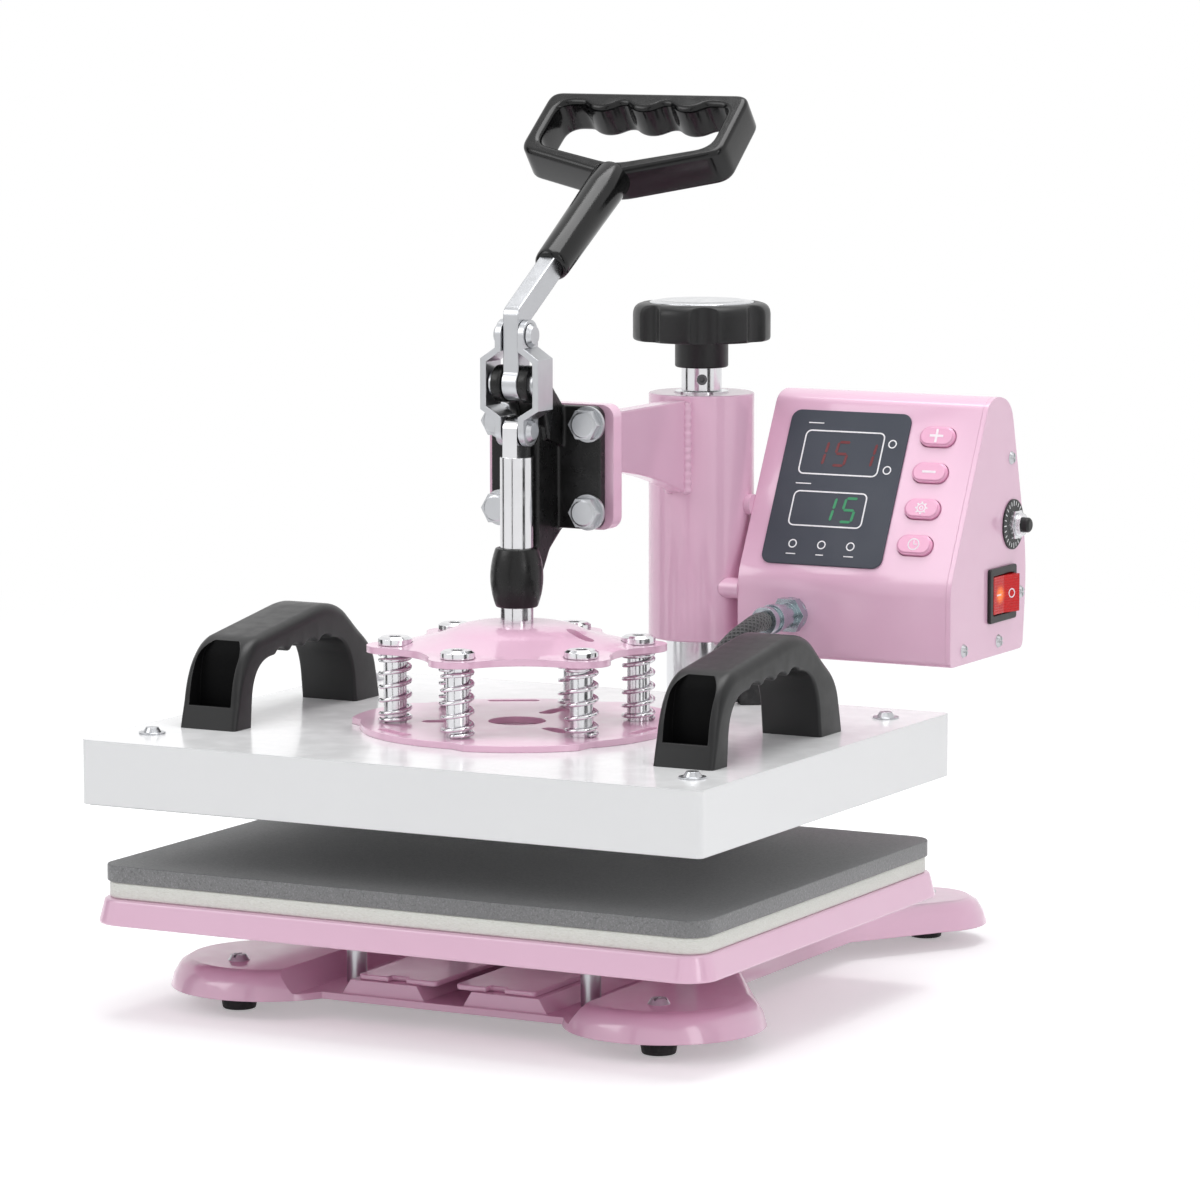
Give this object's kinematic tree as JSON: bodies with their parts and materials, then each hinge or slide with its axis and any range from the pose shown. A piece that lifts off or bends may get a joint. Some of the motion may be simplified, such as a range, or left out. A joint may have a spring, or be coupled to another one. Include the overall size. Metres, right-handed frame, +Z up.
{
  "type": "swing-away heat press",
  "caption": "Bench heat press: a white heated platen on a sprung toggle plunger swings away on a column over a padded bed, with a slanted control box.",
  "frame": {"origin": "on the table, at the middle of the press's outline seen from above", "axes": "+X to the right as seen from the front, +Y from the platen to the column, +Z up"},
  "size_m": [0.31, 0.38, 0.4097],
  "materials": {
    "pink_paint": "satin",
    "pink_plastic": "satin",
    "black_rubber": "matte",
    "black_plastic": "satin",
    "black_iron": "semi-gloss",
    "zinc": "bright",
    "chrome": "polished",
    "dark_steel": "black oxide",
    "nylon": "matte",
    "white_enamel": "gloss",
    "heat_face": "coated",
    "insulation": "matte",
    "felt": "matte",
    "foam": "matte",
    "display": "gloss",
    "circuit": "satin",
    "braid": "matte",
    "silver_disc": "gloss",
    "red_lens": "gloss"
  },
  "bodies": {
    "base": {"base_pan": "pink_paint", "rubber_feet": "black_rubber", "foot_screws": "zinc", "bed_rails": "pink_paint", "bed_posts": "zinc", "bed_plate": "pink_paint", "felt_pad": "felt", "foam_pad": "foam", "column_post": "chrome"},
    "carrier": {"thrust_washer": "zinc"},
    "head": {"column_sleeve": "pink_paint", "guide_bushes": "nylon", "screw_bush": "chrome", "head_arm": "pink_paint", "backing_plate": "pink_paint", "press_bracket": "black_iron", "bracket_bolts": "zinc", "lever_pin": "zinc", "box_shell": "pink_paint", "box_end_cap": "pink_paint", "box_screws": "zinc", "box_lugs": "pink_paint", "display_panel": "display", "control_board": "circuit", "breaker_ring": "black_plastic", "breaker_nut": "chrome", "rocker_bezel": "black_plastic", "cable_gland": "chrome", "lead_ferrule": "chrome"},
    "lever": {"lever_bar": "zinc", "lever_grip": "black_plastic", "link_pin": "zinc"},
    "links": {"toggle_links": "zinc", "link_rivets": "zinc"},
    "plunger": {"plunger_rod": "chrome", "upper_spider": "pink_paint"},
    "platen": {"platen_cover": "white_enamel", "heat_plate": "heat_face", "insulation_pad": "insulation", "lower_spider": "pink_paint", "spring_bolts": "chrome", "spring_sleeves": "chrome", "pressure_springs": "chrome", "left_handle": "black_plastic", "right_handle": "black_plastic", "handle_screws": "zinc", "cover_screws": "zinc", "lead_boot": "black_rubber", "heater_lead": "braid"},
    "knob": {"knob": "black_plastic", "knob_disc": "silver_disc", "screw_collar": "chrome", "set_screw": "dark_steel", "lead_screw": "zinc"},
    "plus_key": {"button_plus": "pink_plastic"},
    "minus_key": {"button_minus": "pink_plastic"},
    "menu_key": {"button_menu": "pink_plastic"},
    "start_key": {"button_start": "pink_plastic"},
    "rocker": {"power_rocker": "red_lens"},
    "breaker": {"breaker_button": "black_plastic"}
  },
  "joints": [
    {"name": "arm_lift", "type": "slide", "parent": "base", "child": "carrier", "axis": [0, 0, 1], "range_m": [0, 0.012]},
    {"name": "arm_swing", "type": "hinge", "parent": "carrier", "child": "head", "pos_m": [0, 0.1175, 0.2], "axis": [0, 0, 1], "range_deg": [-120, 120]},
    {"name": "knob_turn", "type": "hinge", "parent": "head", "child": "knob", "pos_m": [0, 0.1175, 0.3], "axis": [0, 0, 1], "range_deg": [0, 2161]},
    {"name": "handle_pull", "type": "hinge", "parent": "head", "child": "lever", "pos_m": [0, -0.0675, 0.283], "axis": [1, 0, 0], "range_deg": [0, 175]},
    {"name": "link_turn", "type": "hinge", "parent": "lever", "child": "links", "pos_m": [0, -0.0675, 0.305], "axis": [1, 0, 0], "range_deg": [-175.5, 0]},
    {"name": "plunger_slide", "type": "slide", "parent": "head", "child": "plunger", "axis": [0, 0, 1], "range_m": [-0.0429, 0]},
    {"name": "platen_slide", "type": "slide", "parent": "head", "child": "platen", "axis": [0, 0, 1], "range_m": [-0.0277, 0], "deforming": ["pressure_springs", "heater_lead"]},
    {"name": "plus_press", "type": "slide", "parent": "head", "child": "plus_key", "axis": [0, 0.8879, -0.46], "range_m": [0, 0.0012], "stiffness_N_per_m": 1500},
    {"name": "minus_press", "type": "slide", "parent": "head", "child": "minus_key", "axis": [0, 0.8879, -0.46], "range_m": [0, 0.0012], "stiffness_N_per_m": 1500},
    {"name": "menu_press", "type": "slide", "parent": "head", "child": "menu_key", "axis": [0, 0.8879, -0.46], "range_m": [0, 0.0012], "stiffness_N_per_m": 1500},
    {"name": "start_press", "type": "slide", "parent": "head", "child": "start_key", "axis": [0, 0.8879, -0.46], "range_m": [0, 0.0012], "stiffness_N_per_m": 1500},
    {"name": "rocker_flip", "type": "hinge", "parent": "head", "child": "rocker", "pos_m": [0.139, 0.1585, 0.171], "axis": [0, 0, 1], "range_deg": [0, 15]},
    {"name": "breaker_reset", "type": "slide", "parent": "head", "child": "breaker", "axis": [-1, 0, 0], "range_m": [0, 0.003], "stiffness_N_per_m": 800}
  ],
  "couplings": [
    {"joint": "knob_turn", "follows": "arm_lift", "rad_per_m": 3141.6},
    {"joint": "link_turn", "follows": "handle_pull", "ratio": -1},
    {"joint": "plunger_slide", "follows": "handle_pull", "m_per_rad": -0.014006},
    {"joint": "platen_slide", "follows": "handle_pull", "m_per_rad": -0.0090364}
  ]
}
